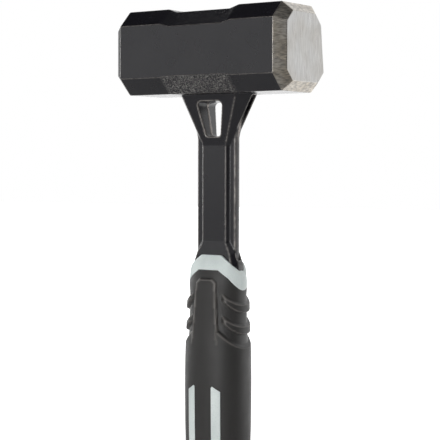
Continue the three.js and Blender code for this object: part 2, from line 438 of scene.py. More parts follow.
def new_material(name: str) -> tuple[bpy.types.Material, bpy.types.NodeTree]:
    """An empty node material.

    Args:
        name: the material's name.

    Returns:
        The material and its node tree.
    """
    material = bpy.data.materials.new(name)
    material.use_nodes = True
    material.node_tree.nodes.clear()
    return material, material.node_tree


def per_size(size: float) -> float:
    """The scale that makes a noise's blobs so many millimetres across on Object coordinates."""
    return 1 / (size * MM)


def within(tree: bpy.types.NodeTree, limits: Iterable[tuple]) -> bpy.types.Node:
    """Multiplies soft limits: 1 where all of them are met, fading past each.

    Args:
        tree: the tree that gets the nodes.
        limits: for each, the value, where it starts to count, where it counts in full and its least share.

    Returns:
        The node that gives the product.
    """
    share = 1.0
    for value, start, full, least in limits:
        limit = {"Value": value, "From Min": start, "From Max": full, "To Min": least}
        share = add_node(tree, "Math", {0: add_node(tree, "MapRange", limit), 1: share}, operation="MULTIPLY")
    return share


@dataclass(frozen=True)
class Mottle:
    """Soft blotches of a real size in millimetres, mapped from the noise's range to another."""

    size: float
    detail: float
    low: float = 0.3
    high: float = 0.7
    least: float = 0.0
    most: float = 1.0

    def lay(self, tree: bpy.types.NodeTree, place: object) -> bpy.types.Node:
        """Adds the blotches.

        Args:
            tree: the tree that gets the nodes.
            place: the output or node that gives the coordinates, in metres.

        Returns:
            The node whose output runs from least to most.
        """
        spread = {"Vector": place, "Scale": per_size(self.size), "Detail": self.detail}
        bounds = {"From Min": self.low, "From Max": self.high, "To Min": self.least, "To Max": self.most}
        return add_node(tree, "MapRange", {"Value": add_node(tree, "TexNoise", spread), **bounds})


# ---------------------------------------------------------------- finishes


@dataclass(frozen=True)
class BlackPaint:
    """Stoved black enamel on forged steel. Lengths in millimetres."""

    # The enamel is a satin black that shows soft highlights, with a faint orange peel in them. It lies thin
    # on the forged scale, where grey metal shows through. Along the trimmed flash it is painted a lighter,
    # metallic grey, a painted reflection of the bright surroundings that the flash catches at a grazing
    # angle.
    colour: str = "100F16"
    thin: str = "5C5A58"
    scale: str = "A5A29E"
    # Painted reflection: the lighter grey laid along the trimmed flash
    painted_flash_reflection: str = "7C7672"
    # Painted highlight: the lighter tone laid along the edges
    painted_edge_highlight: str = "A8A29C"
    cloud: Mottle = Mottle(14.0, 3.0, most=0.03)
    roughness: Mottle = Mottle(9.0, 3.0, least=0.245, most=0.28)
    # Breaks the painted edge highlight into a broken line
    edge_highlight_mask: Mottle = Mottle(3.5, 4.0, high=0.62, least=0.25, most=0.7)
    scale_roughness: float = 0.16
    scale_share: float = 0.6
    scale_size: float = 0.7
    peel_size: float = 1.6
    flash_size: float = 2.2
    flash_sway: float = 1.9

    def build(self, head: "HammerHead", shank: "Shank") -> bpy.types.Material:
        """Makes the paint.

        Args:
            head: gives the waist, where the forged scale shows through the paint.
            shank: gives the throat, below which the painted reflection on the flash fades.

        Returns:
            The material.
        """
        material, tree = new_material("black_stoved_enamel")
        place = add_node(tree, "TexCoord").outputs["Object"]
        axes = add_node(tree, "SeparateXYZ", {"Vector": place}).outputs
        normal = add_node(tree, "NewGeometry").outputs["Normal"]
        facing = add_node(tree, "SeparateXYZ", {"Vector": normal}).outputs
        sideways = add_node(tree, "Math", {0: facing["Y"]}, operation="ABSOLUTE")
        along = add_node(tree, "Math", {0: axes["X"]}, operation="ABSOLUTE")
        # Forged scale: the waist's long chamfers and the head's underside, but not the ground cheeks
        forged = within(
            tree,
            (
                (along, head.waist_outer * MM, (head.waist_outer - 2.5) * MM, 0.0),
                (axes["Z"], (head.bottom - 0.5) * MM, (head.bottom + 0.5) * MM, 0.0),
                (sideways, 0.97, 0.85, 0.0),
            ),
        )
        under = within(tree, ((facing["Z"], 0.0, -0.3, 0.0), (forged, 0.0, 1.0, 0.0)))
        flash = self.flash_line(tree, place, sideways, head, shank)
        # Worn high spots of the scale show lighter
        grit = add_node(
            tree, "TexNoise", {"Vector": place, "Scale": per_size(self.scale_size), "Detail": 5.0}
        )
        high_spots = {"Value": grit, "From Min": 0.47, "From Max": 0.62, "To Max": self.scale_share}
        specks = add_node(
            tree, "Math", {0: add_node(tree, "MapRange", high_spots), 1: under}, operation="MULTIPLY"
        )
        # Painted highlight: lighter paint along the edges, in a broken line, for the light that the rounded
        # edges catch
        edges = add_node(tree, "Attribute", attribute_name=EDGE_HIGHLIGHT).outputs["Fac"]
        edge_highlight_mask = add_node(tree, "Math", {0: edges, 1: self.edge_highlight_mask.lay(tree, place)}, operation="MULTIPLY")
        colour = linear(self.colour)
        layers = (
            (self.cloud.lay(tree, place), self.thin),
            (specks, self.scale),
            (flash, self.painted_flash_reflection),
            (edge_highlight_mask, self.painted_edge_highlight),
        )
        for share, tone in layers:
            colour = add_node(
                tree, "Mix", {"Factor": share, "A": colour, "B": linear(tone)}, data_type="RGBA"
            )
        even = self.roughness.lay(tree, place)
        rough = add_node(
            tree, "Math", {0: under, 1: self.scale_roughness, 2: even}, operation="MULTIPLY_ADD"
        )
        orange = add_node(
            tree, "TexNoise", {"Vector": place, "Scale": per_size(self.peel_size), "Detail": 2.0}
        )
        peel = add_node(tree, "Bump", {"Height": orange, "Strength": 0.05, "Distance": 0.2 * MM})
        bare = add_node(tree, "Math", {0: forged, 1: flash}, operation="ADD")
        pitted = add_node(tree, "Math", {0: grit, 1: bare}, operation="MULTIPLY")
        pits = add_node(
            tree, "Bump", {"Height": pitted, "Strength": 1.0, "Distance": 0.6 * MM, "Normal": peel}
        )
        # The painted reflection on the flash is also made metallic
        metal = add_node(tree, "Math", {0: flash, 1: 0.85}, operation="MULTIPLY")
        shader = add_node(
            tree,
            "BsdfPrincipled",
            {"Base Color": colour, "Metallic": metal, "Roughness": rough, "Normal": pits},
        )
        add_node(tree, "OutputMaterial", {"Surface": shader})
        return material

    def flash_line(
        self,
        tree: bpy.types.NodeTree,
        place: bpy.types.NodeSocket,
        sideways: bpy.types.Node,
        head: "HammerHead",
        shank: "Shank",
    ) -> bpy.types.Node:
        """The trimmed flash: a ragged line round the middle of the wall, on faces that look along X. It is
        painted a lighter, metallic grey, a painted reflection of the bright surroundings that the flash
        catches at a grazing angle.

        Args:
            tree: the tree that gets the nodes.
            place: Object coordinates.
            sideways: how far a face looks along Y, without its sign.
            head: its underside is where the line ends.
            shank: the line is faint below its throat.

        Returns:
            The node that gives 1 on the line.
        """
        axes = add_node(tree, "SeparateXYZ", {"Vector": place}).outputs
        across = add_node(tree, "Math", {0: axes["Y"]}, operation="ABSOLUTE")
        ragged = add_node(
            tree, "TexNoise", {"Vector": place, "Scale": per_size(self.flash_size), "Detail": 4.0}
        )
        rim = add_node(
            tree, "Math", {0: ragged, 1: -self.flash_sway * MM, 2: across}, operation="MULTIPLY_ADD"
        )
        foot = shank.throat_bottom
        return within(
            tree,
            (
                (rim, 0.1 * MM, -0.25 * MM, 0.0),
                (axes["Z"], (head.bottom + 0.2) * MM, (head.bottom - 0.8) * MM, 0.0),
                (sideways, 0.6, 0.35, 0.0),
                (axes["Z"], foot * MM, (foot + 8) * MM, 0.15),
            ),
        )


@dataclass(frozen=True)
class GroundSteel:
    """Medium carbon steel left bare by the belt grinder. Lengths in millimetres."""

    # Parallel scratches spread each highlight across themselves and break the tone into fine streaks. Grit
    # of that kind is too fine to show, so the scratches are drawn coarser than it.
    name: str
    colour: str = "B6B6B5"
    warm: str = "ADABA7"
    scratched: str = "6E6B68"
    roughness: float = 0.3
    scratch_size: float = 0.5
    contrast: float = 0.35
    length: tuple[float, float, float] = (1.0, 1.0, 12.0)

    def build(self) -> bpy.types.Material:
        """Makes the ground steel, with its scratches along the axis whose length is greatest.

        Returns:
            The material.
        """
        material, tree = new_material(self.name)
        place = add_node(tree, "TexCoord").outputs["Object"]
        drawn = add_node(tree, "Mapping", {"Vector": place, "Scale": [1 / s for s in self.length]})
        scratches = add_node(
            tree, "TexNoise", {"Vector": drawn, "Scale": per_size(self.scratch_size), "Detail": 3.0}
        )
        dark = add_node(
            tree,
            "MapRange",
            {"Value": scratches, "From Min": 0.35, "From Max": 0.62, "To Max": self.contrast},
        )
        tone = linear(self.colour)
        for share, other in ((Mottle(12.0, 2.0).lay(tree, place), self.warm), (dark, self.scratched)):
            tone = add_node(
                tree, "Mix", {"Factor": share, "A": tone, "B": linear(other)}, data_type="RGBA"
            )
        band = Mottle(self.scratch_size * 5, 2.0, least=self.roughness - 0.05, most=self.roughness + 0.1)
        bump = add_node(tree, "Bump", {"Height": scratches, "Strength": 0.35, "Distance": 0.06 * MM})
        shader = add_node(
            tree,
            "BsdfPrincipled",
            {"Base Color": tone, "Metallic": 1.0, "Roughness": band.lay(tree, drawn), "Normal": bump},
        )
        add_node(tree, "OutputMaterial", {"Surface": shader})
        return material


@dataclass(frozen=True)
class MouldedPlastic:
    """A plastic or rubber with the spark-eroded grain of its mould. Lengths in millimetres."""

    # The grain breaks the highlights into a dull sheen. Spark-eroded grain is too fine to show, so it is
    # drawn coarser, and the tone drifts a little along the flow of the melt.
    name: str
    colour: str
    shade: str
    roughness: float
    grain_size: float
    bump: float
    sheen: float = 0.0
    # Painted highlight: a lighter tone laid along the edges, and its share
    edge_highlight_tone: str = "FFFFFF"
    edge_highlight_share: float = 0.0

    def build(self) -> bpy.types.Material:
        """Makes the moulded finish.

        Returns:
            The material.
        """
        material, tree = new_material(self.name)
        place = add_node(tree, "TexCoord").outputs["Object"]
        drift = add_node(tree, "Mapping", {"Vector": place, "Scale": (1.0, 1.0, 1 / 3)})
        grain = add_node(
            tree, "TexNoise", {"Vector": place, "Scale": per_size(self.grain_size), "Detail": 3.0}
        )
        pores = add_node(
            tree, "MapRange", {"Value": grain, "From Min": 0.5, "From Max": 0.75, "To Max": 0.5}
        )
        layers = [(Mottle(16.0, 2.0).lay(tree, drift), self.shade), (pores, self.shade)]
        # Painted highlight along the edges, for the light that they catch
        if self.edge_highlight_share > 0:
            edges = add_node(tree, "Attribute", attribute_name=EDGE_HIGHLIGHT).outputs["Fac"]
            painted_edge_highlight = add_node(tree, "Math", {0: edges, 1: self.edge_highlight_share}, operation="MULTIPLY")
            layers.append((painted_edge_highlight, self.edge_highlight_tone))
        colour = linear(self.colour)
        for share, tone in layers:
            colour = add_node(
                tree, "Mix", {"Factor": share, "A": colour, "B": linear(tone)}, data_type="RGBA"
            )
        rough = Mottle(7.0, 3.0, least=self.roughness - 0.04, most=self.roughness + 0.05)
        bump = add_node(tree, "Bump", {"Height": grain, "Strength": self.bump, "Distance": 0.12 * MM})
        shader = add_node(
            tree,
            "BsdfPrincipled",
            {
                "Base Color": colour,
                "Roughness": rough.lay(tree, place),
                "Normal": bump,
                "Sheen Weight": self.sheen,
            },
        )
        add_node(tree, "OutputMaterial", {"Surface": shader})
        return material


# ---------------------------------------------------------------- the steel forging


@dataclass
class HammerHead:
    """The octagonal head: ground flats and ends, with an as-forged waist over the shank. Millimetres."""

    high: Vector  # the forging's highest corner
    corner: float = 9.0
    bevel_length: float = 5.9
    bevel_inset: float = 5.2
    waist_floor: float = 18.0
    waist_ramp: float = 6.0
    waist_depth: float = 2.0
    waist_corner_depth: float = 1.1
    waist_under_depth: float = 0.5
    height: float = 48.0
    edge: float = 0.45
    dwell: float = 3.0  # taken off the near face's top rear corner, across
    dwell_down: float = 2.4  # and downwards

    @property
    def half_length(self) -> float:
        """Half the head's length along X."""
        return self.high.x

    @property
    def half_width(self) -> float:
        """Half the head's width along Y."""
        return self.high.y

    @property
    def bottom(self) -> float:
        """Height of the head's underside."""
        return self.high.z - self.height

    @property
    def waist_outer(self) -> float:
        """Where the waist's ramps reach the ground flats, along X."""
        return self.waist_floor + self.waist_ramp

    def section(self, top_cut: float, corner_cut: float, under_cut: float) -> list[tuple[float, float]]:
        """The octagon of a slice of the head, about the head's middle.

        Args:
            top_cut: how far the top lies below the ground flat.
            corner_cut: how far the upper long chamfers lie below theirs.
            under_cut: the same for the lower long chamfers.

        Returns:
            Eight points in Y and Z.
        """
        y, z = self.half_width, self.height / 2
        reach = y + z - self.corner - corner_cut * math.sqrt(2)
        under = y + z - self.corner - under_cut * math.sqrt(2)
        top = z - top_cut
        return [
            (under - z, -z), (y, y - under), (y, reach - y), (reach - top, top),
            (top - reach, top), (-y, reach - y), (-y, y - under), (z - under, -z),
        ]

    def build(self) -> bpy.types.Object:
        """Makes the head: rings of the octagon bridged from end to end, then the ends ground.

        Returns:
            A closed solid in millimetres. Material 0 is paint, 1 the face's and 2 the bevels' grind.
        """
        bm = bmesh.new()
        middle = self.high.z - self.height / 2
        body = self.half_length - self.bevel_length
        plain = self.section(0.0, 0.0, 0.0)
        waist = self.section(self.waist_depth, self.waist_corner_depth, self.waist_under_depth)
        places = [
            (-body, plain), (-self.waist_outer, plain), (-self.waist_floor, waist),
            (self.waist_floor, waist), (self.waist_outer, plain), (body, plain),
        ]
        rings = []
        for x, points in places:
            verts = [bm.verts.new((x, y, middle + z)) for y, z in points]
            rings.append([bm.edges.new((a, b)) for a, b in zip(verts, verts[1:] + verts[:1])])
        for first, second in zip(rings, rings[1:]):
            bmesh.ops.bridge_loops(bm, edges=first + second)
        for side, ring in ((-1, rings[0]), (1, rings[-1])):
            end = bmesh.ops.contextual_create(bm, geom=ring)["faces"][0]
            bmesh.ops.recalc_face_normals(bm, faces=bm.faces)
            around = bmesh.ops.inset_region(
                bm, faces=[end], thickness=self.bevel_inset, use_even_offset=True
            )["faces"]
            bmesh.ops.translate(bm, verts=list(end.verts), vec=(side * self.bevel_length, 0, 0))
            end.material_index = 1
            for face in around:
                face.material_index = 2 if side > 0 else 0
            if side > 0:
                self.grind_corner(end, middle)
        bmesh.ops.recalc_face_normals(bm, faces=bm.faces)
        creases = [e for e in bm.edges if e.calc_face_angle(0) > math.radians(12)]
        bmesh.ops.bevel(
            bm, geom=creases, offset=self.edge, offset_type="OFFSET", affect="EDGES",
            segments=2, profile=0.5, material=-1, clamp_overlap=True,
        )
        return new_object(bm, "head")

    def grind_corner(self, end: bmesh.types.BMFace, middle: float) -> None:
        """Takes more off the top rear corner of the near face, where the grinder dwelt.

        Args:
            end: the striking face.
            middle: height of the head's middle.
        """
        for vert in end.verts:
            if vert.co.y > 0 and vert.co.z > middle:
                flat = vert.co.z > middle + self.half_width / 2
                vert.co += Vector((0, -self.dwell, 0)) if flat else Vector((0, 0, -self.dwell_down))


@dataclass
class Shank:
    """Everything of the forging below the head: throat, window, shank, shoulder and tang. Millimetres."""

    head: HammerHead
    crest: float  # height of the collar's crest
    flange: float = 13.4
    flange_half: float = 2.3
    pad: float = 7.95
    pad_half: float = 4.4
    draft: float = 0.69
    throat_height: float = 28.6
    throat: float = 20.0
    throat_half: float = 9.6
    web_sweep: float = 14.0
    window_top: float = 7.5
    window_bottom: float = 4.7
    window_height: float = 18.8
    window_drop: float = 4.8
    window_corner: float = 1.8
    shoulder: float = 15.6
    shoulder_half: float = 6.0
    shoulder_height: float = 16.5
    shoulder_above: float = 7.4
    foot_below: float = 3.0
    fillet: float = 2.4
    window_draft: float = 0.95
    tang: float = 8.0
    tang_half: float = 3.2
    tang_end: float = 28.0
    key_radius: float = 4.0
    key_heights: tuple[float, ...] = (46.0, 80.0, 114.0)
    key_cut: float = 20.0
    parting: float = 0.35
    parting_half: float = 0.15
    voxel: float = 0.4
    passes: int = 4

    @property
    def throat_bottom(self) -> float:
        """Height where the arms of the throat run out into the shank."""
        return self.head.bottom - self.throat_height

    @property
    def shoulder_top(self) -> float:
        """Height where the shank starts to spread towards the collar."""
        return self.crest + self.shoulder_above

    @property
    def foot(self) -> float:
        """Height where the shoulder ends inside the handle."""
        return self.shoulder_top - self.shoulder_height - self.foot_below

    def flange_outline(self, grow: float) -> list[tuple[float, float]]:
        """The flange's right half from the head down: a concave sweep, then straight.

        Args:
            grow: added all round.

        Returns:
            Points in X and Z.
        """
        top = self.head.bottom
        start = top - self.throat_height * 0.86
        side = self.flange + grow
        knots = [
            Vector((side, start)),
            Vector((side + self.web_sweep * 0.22, top - self.throat_height * 0.4)),
            Vector((side + self.web_sweep * 0.25, top - 1.5)),
            Vector((side + self.web_sweep, top + 0.2)),
        ]
        curve = []
        steps = 12
        for i in range(steps + 1):
            t = i / steps
            weights = ((1 - t) ** 3, 3 * t * (1 - t) ** 2, 3 * t * t * (1 - t), t**3)
            curve.append(tuple(sum((w * k for w, k in zip(weights, knots)), Vector((0, 0)))))
        curve.reverse()
        return [(curve[0][0], top + 4)] + curve + [(side, self.foot - grow)]

    def pad_outline(self, grow: float) -> list[tuple[float, float]]:
        """The pads' right half where they leave the flange, from the head down.

        Args:
            grow: added all round.

        Returns:
            Points in X and Z.
        """
        top = self.head.bottom
        foot = self.pad + (self.pad_half - self.flange_half) * self.draft + grow
        root = self.throat + (self.throat_half - self.flange_half) * self.draft + grow
        shoulder = self.shoulder + grow
        spread = self.shoulder_top
        return [
            (root, top + 10),
            (root, top),
            (foot, self.throat_bottom),
            (foot, spread),
            (foot + (shoulder - foot) * 0.6, spread - self.shoulder_height * 0.36),
            (shoulder, spread - self.shoulder_height * 0.76),
            (shoulder, spread - self.shoulder_height - 12),
        ]

    def side_outline(self, grow: float) -> list[tuple[float, float]]:
        """The forging's right half seen from the side, with a fillet under the head.

        Args:
            grow: added all round, below the throat.

        Returns:
            Points in Y and Z.
        """
        top = self.head.bottom
        outer = self.throat_half + 2.6
        return [
            (outer, top + 4),
            *arc((outer, top - self.fillet), (self.fillet, self.fillet), 90, 180, 4),
            (self.pad_half + grow, self.throat_bottom),
            (self.pad_half + grow, self.shoulder_top),
            (self.shoulder_half + grow, self.shoulder_top - self.shoulder_height * 0.7),
            (self.shoulder_half + grow, self.foot - grow),
        ]

    def window_outline(self) -> list[tuple[float, float]]:
        """The window's right half at the middle of the wall: a taper with rounded corners.

        Returns:
            Points in X and Z.
        """
        top = self.head.bottom - self.window_drop
        bottom = top - self.window_height
        r = self.window_corner
        upper = arc((self.window_top - r, top - r), (r, r), 90, 0, 4)
        lower = arc((self.window_bottom - r, bottom + r), (r, r), 0, -90, 4)
        return upper + lower

    def rough(self, grow: float = 0.0) -> bpy.types.Object:
        """Flange and pads with sharp edges.

        Args:
            grow: added all round, for the pocket that the handle leaves for the steel.

        Returns:
            A closed solid in millimetres.
        """
        run = self.throat_half + 4 - self.flange_half
        pads = prism(
            mirrored(self.pad_outline(grow)), Lie.FRONT, self.flange_half, run, run * self.draft
        )
        combine(pads, prism(mirrored(self.side_outline(grow)), Lie.SIDE, REACH), Join.COMMON)
        # The pads stand apart between head and shoulder, where only the flange joins them
        gap_top = self.head.bottom - 1
        gap_bottom = self.shoulder_top - self.shoulder_height * 0.62
        gap = self.flange_half - 0.4 - grow
        slab = [(-gap, gap_bottom), (gap, gap_bottom), (gap, gap_top), (-gap, gap_top)]
        combine(pads, prism(slab, Lie.SIDE, REACH), Join.CUT)
        thick = self.flange_half - self.parting_half + grow
        outline = mirrored(self.flange_outline(grow))
        flange = prism(outline, Lie.FRONT, self.parting_half, thick, self.parting)
        return combine(flange, pads, Join.UNION)

    def build(self) -> bpy.types.Object:
        """Makes the part below the head, softened as a forging is, with its tang.

        Returns:
            A closed solid in millimetres.
        """
        body = self.rough()
        outline = mirrored(self.window_outline())
        window = prism(outline, Lie.FRONT, 0.3, self.throat_half + 2, -self.window_draft)
        combine(body, window, Join.CUT)
        remesh(body, self.voxel, self.passes)
        return combine(body, self.make_tang(), Join.UNION)

    def make_tang(self) -> bpy.types.Object:
        """Makes the tang that the core is moulded on, with its key holes.

        Returns:
            A closed solid in millimetres.
        """
        low = self.tang_end
        top = self.shoulder_top - self.shoulder_height
        half = [(self.tang, top), (self.tang, low + self.tang), (self.tang / 2, low)]
        tang = prism(mirrored(half), Lie.FRONT, self.tang_half)
        for height in self.key_heights:
            hole = arc((0, height), (self.key_radius, self.key_radius), 0, 345, 23)
            combine(tang, prism(hole, Lie.FRONT, self.key_cut), Join.CUT)
        return tang


@dataclass
class Forging:
    """The whole steel forging: head and shank in one."""

    head: HammerHead
    shank: Shank
    paint: BlackPaint = BlackPaint()
    # Upright scratches give the face a pale, even, silky grey
    face_grind: GroundSteel = GroundSteel("belt_ground_face")
    # Coarser scratches along the head give the bevels a warmer, streaky grey
    bevel_grind: GroundSteel = GroundSteel(
        "belt_ground_bevels", "BDB9B2", "A89F90", scratch_size=0.8, contrast=0.8, length=(14.0, 3.0, 1.0)
    )

    def build(self) -> bpy.types.Object:
        """Joins head and shank into one solid and dresses it.

        Returns:
            The finished piece.
        """
        materials = (
            self.paint.build(self.head, self.shank),
            self.face_grind.build(),
            self.bevel_grind.build(),
        )
        head = dress(self.head.build(), *materials)
        shank = dress(self.shank.build(), *materials)
        solid = mark_edges(combine(head, shank, Join.UNION))
        return deliver(solid, "hammer_forging", ["forged_head_and_shank"], sharp=30.0)


# ---------------------------------------------------------------- the moulded handle


@dataclass(frozen=True)
class Ring:
    """Half sizes of the handle's oval at one height, in millimetres."""

    z: float
    x: float
    y: float


@dataclass(frozen=True)
class Ribs:
    """The scooped zone on the narrow sides, its finger ribs, and the beaded panel between. Millimetres."""

    low: float  # height where the scoop ends, at the narrow side
    rib_offsets: tuple[float, ...] = (6.7, 18.8)
    curl: float = 6.8
    curl_angle: float = 57.0
    rib_height: float = 4.8
    panel_top: float = 37.6
    panel_low_half: float = 9.0
    panel_high_half: float = 6.5
    bead: float = 0.22

    def raised(self, x: np.ndarray, z: np.ndarray, angle: np.ndarray) -> np.ndarray:
        """How far each point stands up between the scoop's floor and the full grip.

        Args:
            x: distance from the middle of the broad side.
            z: height.
            angle: degrees round from the narrow side, 0 to 90.

        Returns:
            Values from 0 on the floor to 1 on the ribs, the panel and below the zone.
        """
        along = z - self.low
        lift = self.curl * (np.minimum(angle, 75.0) / self.curl_angle) ** 2
        share = np.clip(along / self.panel_top, 0, 1)
        beyond = x - self.panel_low_half - (self.panel_high_half - self.panel_low_half) * share
        over = along - self.panel_top
        corner = (beyond + over + 2.2) * math.sqrt(0.5)
        beyond = np.maximum(np.maximum(beyond, over), corner)
        best = smooth_step(0.8, -0.2, beyond)
        best = best + self.bead * np.exp(-(((beyond + 0.6) / 0.4) ** 2)) * smooth_step(-2.0, 8.0, along)
        best = np.maximum(best, smooth_step(1.2, -1.4, along - lift))
        for offset in self.rib_offsets:
            foot = offset + lift
            head = foot + self.rib_height - 1.6 * angle / self.curl_angle
            band = smooth_step(foot - 0.25, foot + 0.3, along)
            band = band * smooth_step(head + 1.4, head - 0.6, along)
            best = np.maximum(best, band * smooth_step(60.0, 50.0, angle))
        return best


@dataclass
class Handle:
    """The form that all moulded pieces share: oval, swelling at the butt, with ribbed scoops. Millimetres."""

    butt: Vector
    grip_top: float
    collar_top: float
    squareness: float = 2.25
    wall: float = 3.0
    floor: float = 5.0
    joint: float = 0.25
    butt_round: float = 4.0
    crest_half: float = 6.7
    wave_half: float = 17.5
    wave_drop: float = 11.6
    scoop: float = 1.7
    scoop_at_collar: float = 0.9
    rib_zone: float = 42.7  # from the grip's top down to where the scoops end
    past_collar: float = 4.5
    cut_top: float = 290.0  # well above all that the wave cuts

    def rings(self) -> list[Ring]:
        """The handle's full ovals.

        Returns:
            The ovals from the butt's round up.
        """
        top = self.grip_top
        return [
            Ring(self.butt_round, self.butt.x, self.butt.y),
            Ring(12.0, self.butt.x - 0.1, self.butt.y - 0.1),
            Ring(top * 0.24, 19.0, 14.8),
            Ring(top * 0.45, 19.6, 15.3),
            Ring(top * 0.7, 19.5, 15.2),
            Ring(top * 0.8, 19.1, 14.2),
            Ring(top - 8, 18.6, 12.9),
            Ring(top - 2, 18.3, 11.8),
            Ring(top + 3, 17.8, 10.6),
            Ring(self.collar_top, 16.0, 8.5),
            Ring(self.collar_top + 5, 14.4, 7.0),
        ]

    def oval(self, z: np.ndarray) -> tuple[np.ndarray, np.ndarray]:
        """Half sizes of the handle at some heights, smooth through the rings.

        Args:
            z: the heights.

        Returns:
            Half widths along X and along Y.
        """
        rings = self.rings()
        knots = np.array([r.z for r in rings])
        found = []
        for values in (np.array([r.x for r in rings]), np.array([r.y for r in rings])):
            slopes = np.gradient(values, knots)
            i = np.clip(np.searchsorted(knots, z) - 1, 0, len(knots) - 2)
            width = knots[i + 1] - knots[i]
            t = np.clip((z - knots[i]) / width, 0.0, 1.0)
            found.append(
                values[i] * (1 + 2 * t) * (1 - t) ** 2
                + slopes[i] * width * t * (1 - t) ** 2
                + values[i + 1] * t * t * (3 - 2 * t)
                + slopes[i + 1] * width * t * t * (t - 1)
            )
        rounding = np.clip(self.butt_round - z, 0.0, self.butt_round)
        inset = self.butt_round - np.sqrt(self.butt_round**2 - rounding**2)
        return found[0] - inset, found[1] - inset

    def form(self, grow: float, low: float, facets: int, count: int, ribbed: bool) -> bpy.types.Object:
        """The handle as a closed solid: a grid rolled into a tube, shaped, and filled at its ends.

        Args:
            grow: added to the half sizes; below 0 for what lies inside.
            low: height of the underside.
            facets: faces round the handle.
            count: faces along it.
            ribbed: with the scoops and ribs or without.

        Returns:
            A solid in millimetres that reaches a little past the collar.
        """
        bm = bmesh.new()
        bmesh.ops.create_grid(bm, x_segments=facets, y_segments=count, size=1.0)
        turn = np.array([(v.co.x + 1) * math.pi for v in bm.verts])
        share = np.array([(v.co.y + 1) / 2 for v in bm.verts])
        base_share = 0.04  # share of the rows that the butt's round takes
        lower = low + self.butt_round * (1 - np.cos(np.clip(share / base_share, 0, 1) * math.pi / 2))
        upper_share = np.clip((share - base_share) / (1 - base_share), 0, 1)
        start = low + self.butt_round
        end = self.collar_top + self.past_collar
        heights = [start, end]
        shares = [0.0, 1.0]
        if ribbed:  # more rows where the ribs are
            heights = [start, self.grip_top - 46, self.grip_top - 3, end]
            shares = [0.0, 0.35, 0.9, 1.0]
        z = np.where(share < base_share, lower, np.interp(upper_share, shares, heights))
        half_x, half_y = self.oval(z)
        power = 2 / self.squareness
        unit_x = np.sign(np.cos(turn)) * np.abs(np.cos(turn)) ** power
        unit_y = np.sign(np.sin(turn)) * np.abs(np.sin(turn)) ** power
        if ribbed:
            angle = np.degrees(np.arctan2(np.abs(np.sin(turn)), np.abs(np.cos(turn))))
            depth = self.scoop_at_collar + (self.scoop - self.scoop_at_collar) * smooth_step(
                self.grip_top - 6, self.grip_top - 16, z
            )
            across = np.abs(half_x * unit_x)
            raised = Ribs(self.grip_top - self.rib_zone).raised(across, z, angle)
            half_x = half_x - depth * (1 - raised)
            half_y = half_y - depth * (1 - raised)
        for vert, x, y, height in zip(bm.verts, unit_x * (half_x + grow), unit_y * (half_y + grow), z):
            vert.co = (x, y, height)
        bmesh.ops.remove_doubles(bm, verts=bm.verts, dist=1e-4)
        bmesh.ops.holes_fill(bm, edges=[e for e in bm.edges if e.is_boundary], sides=0)
        bmesh.ops.recalc_face_normals(bm, faces=bm.faces)
        return new_object(bm, "form")

    def above_wave(self, crest: float) -> bpy.types.Object:
        """Everything above the wave that runs round the handle, its crests on the broad sides.

        Args:
            crest: the wave's height at its crests.

        Returns:
            A solid to cut with.
        """
        half, drop = self.wave_half, self.wave_drop
        knee = (half * 0.72, crest - drop * 0.38)
        pull = (half * 0.92, crest - drop * 0.72)
        end = (half, crest - drop)
        bend = []
        steps = 8
        for i in range(steps + 1):
            t = i / steps
            weights = ((1 - t) ** 2, 2 * t * (1 - t), t * t)
            bend.append(tuple(sum(w * p[k] for w, p in zip(weights, (knee, pull, end))) for k in (0, 1)))
        right = [(REACH, self.cut_top), (REACH, end[1]), *reversed(bend), (self.crest_half, crest)]
        return prism(mirrored(right), Lie.FRONT, REACH)


@dataclass
class Collar:
    """The light hard band that closes the handle round the steel's shoulder."""

    handle: Handle
    shank: Shank

    def build(self, material: bpy.types.Material) -> bpy.types.Object:
        """Makes the collar.

        Args:
            material: the light plastic.

        Returns:
            The finished piece.
        """
        handle = self.handle
        solid = handle.form(0.0, 0.0, 200, 340, True)
        combine(solid, handle.above_wave(handle.grip_top), Join.COMMON)
        combine(solid, handle.above_wave(handle.collar_top), Join.CUT)
        combine(solid, self.shank.rough(handle.joint), Join.CUT)
        return deliver(dress(solid, material), "wavy_collar", ["collar"])


@dataclass
class Stripes:
    """The light stripes let into the soft grip, two on each broad side. Millimetres."""

    handle: Handle
    low: float
    high: float
    spacing: float = 16.4
    width: float = 5.4
    slant: float = 2.8
    corner: float = 0.7
    joint: float = 0.1
    depth: float = 30.0

    def cutter(self, side: int, face: int, inset: float) -> bpy.types.Object:
        """The slot's prism.

        Args:
            side: -1 or 1, left or right of the middle.
            face: -1 for the front, 1 for the back.
            inset: how much smaller it is all round.

        Returns:
            A solid to cut with.
        """
        inner = self.spacing / 2 - self.width / 2 + inset
        outer = self.spacing / 2 + self.width / 2 - inset
        outline = [
            (side * inner, self.low + inset + self.corner),
            (side * (inner + self.corner), self.low + inset),
            (side * outer, self.low + self.slant + inset),
            (side * outer, self.high - self.slant - inset),
            (side * (inner + self.corner), self.high - inset),
            (side * inner, self.high - inset - self.corner),
        ]
        solid = prism(outline, Lie.FRONT, self.depth / 2)
        solid.data.transform(Matrix.Translation((0, face * (self.depth / 2 + 0.5), 0)))
        return solid

    def build(self, material: bpy.types.Material) -> list[bpy.types.Object]:
        """Makes the four stripes.

        Args:
            material: the light plastic.

        Returns:
            The finished pieces.
        """
        handle = self.handle
        made = []
        for face, face_name in ((-1, "front"), (1, "back")):
            for side, side_name in ((-1, "left"), (1, "right")):
                solid = self.cutter(side, face, self.joint)
                combine(solid, handle.form(0.0, 0.0, 200, 200, True), Join.COMMON)
                inside = handle.form(-handle.wall, handle.floor, 60, 60, False)
                combine(solid, inside, Join.CUT)
                name = f"stripe_{face_name}_{side_name}"
                dress(solid, material)
                made.append(deliver(solid, f"{name}_inlay", [name]))
        return made


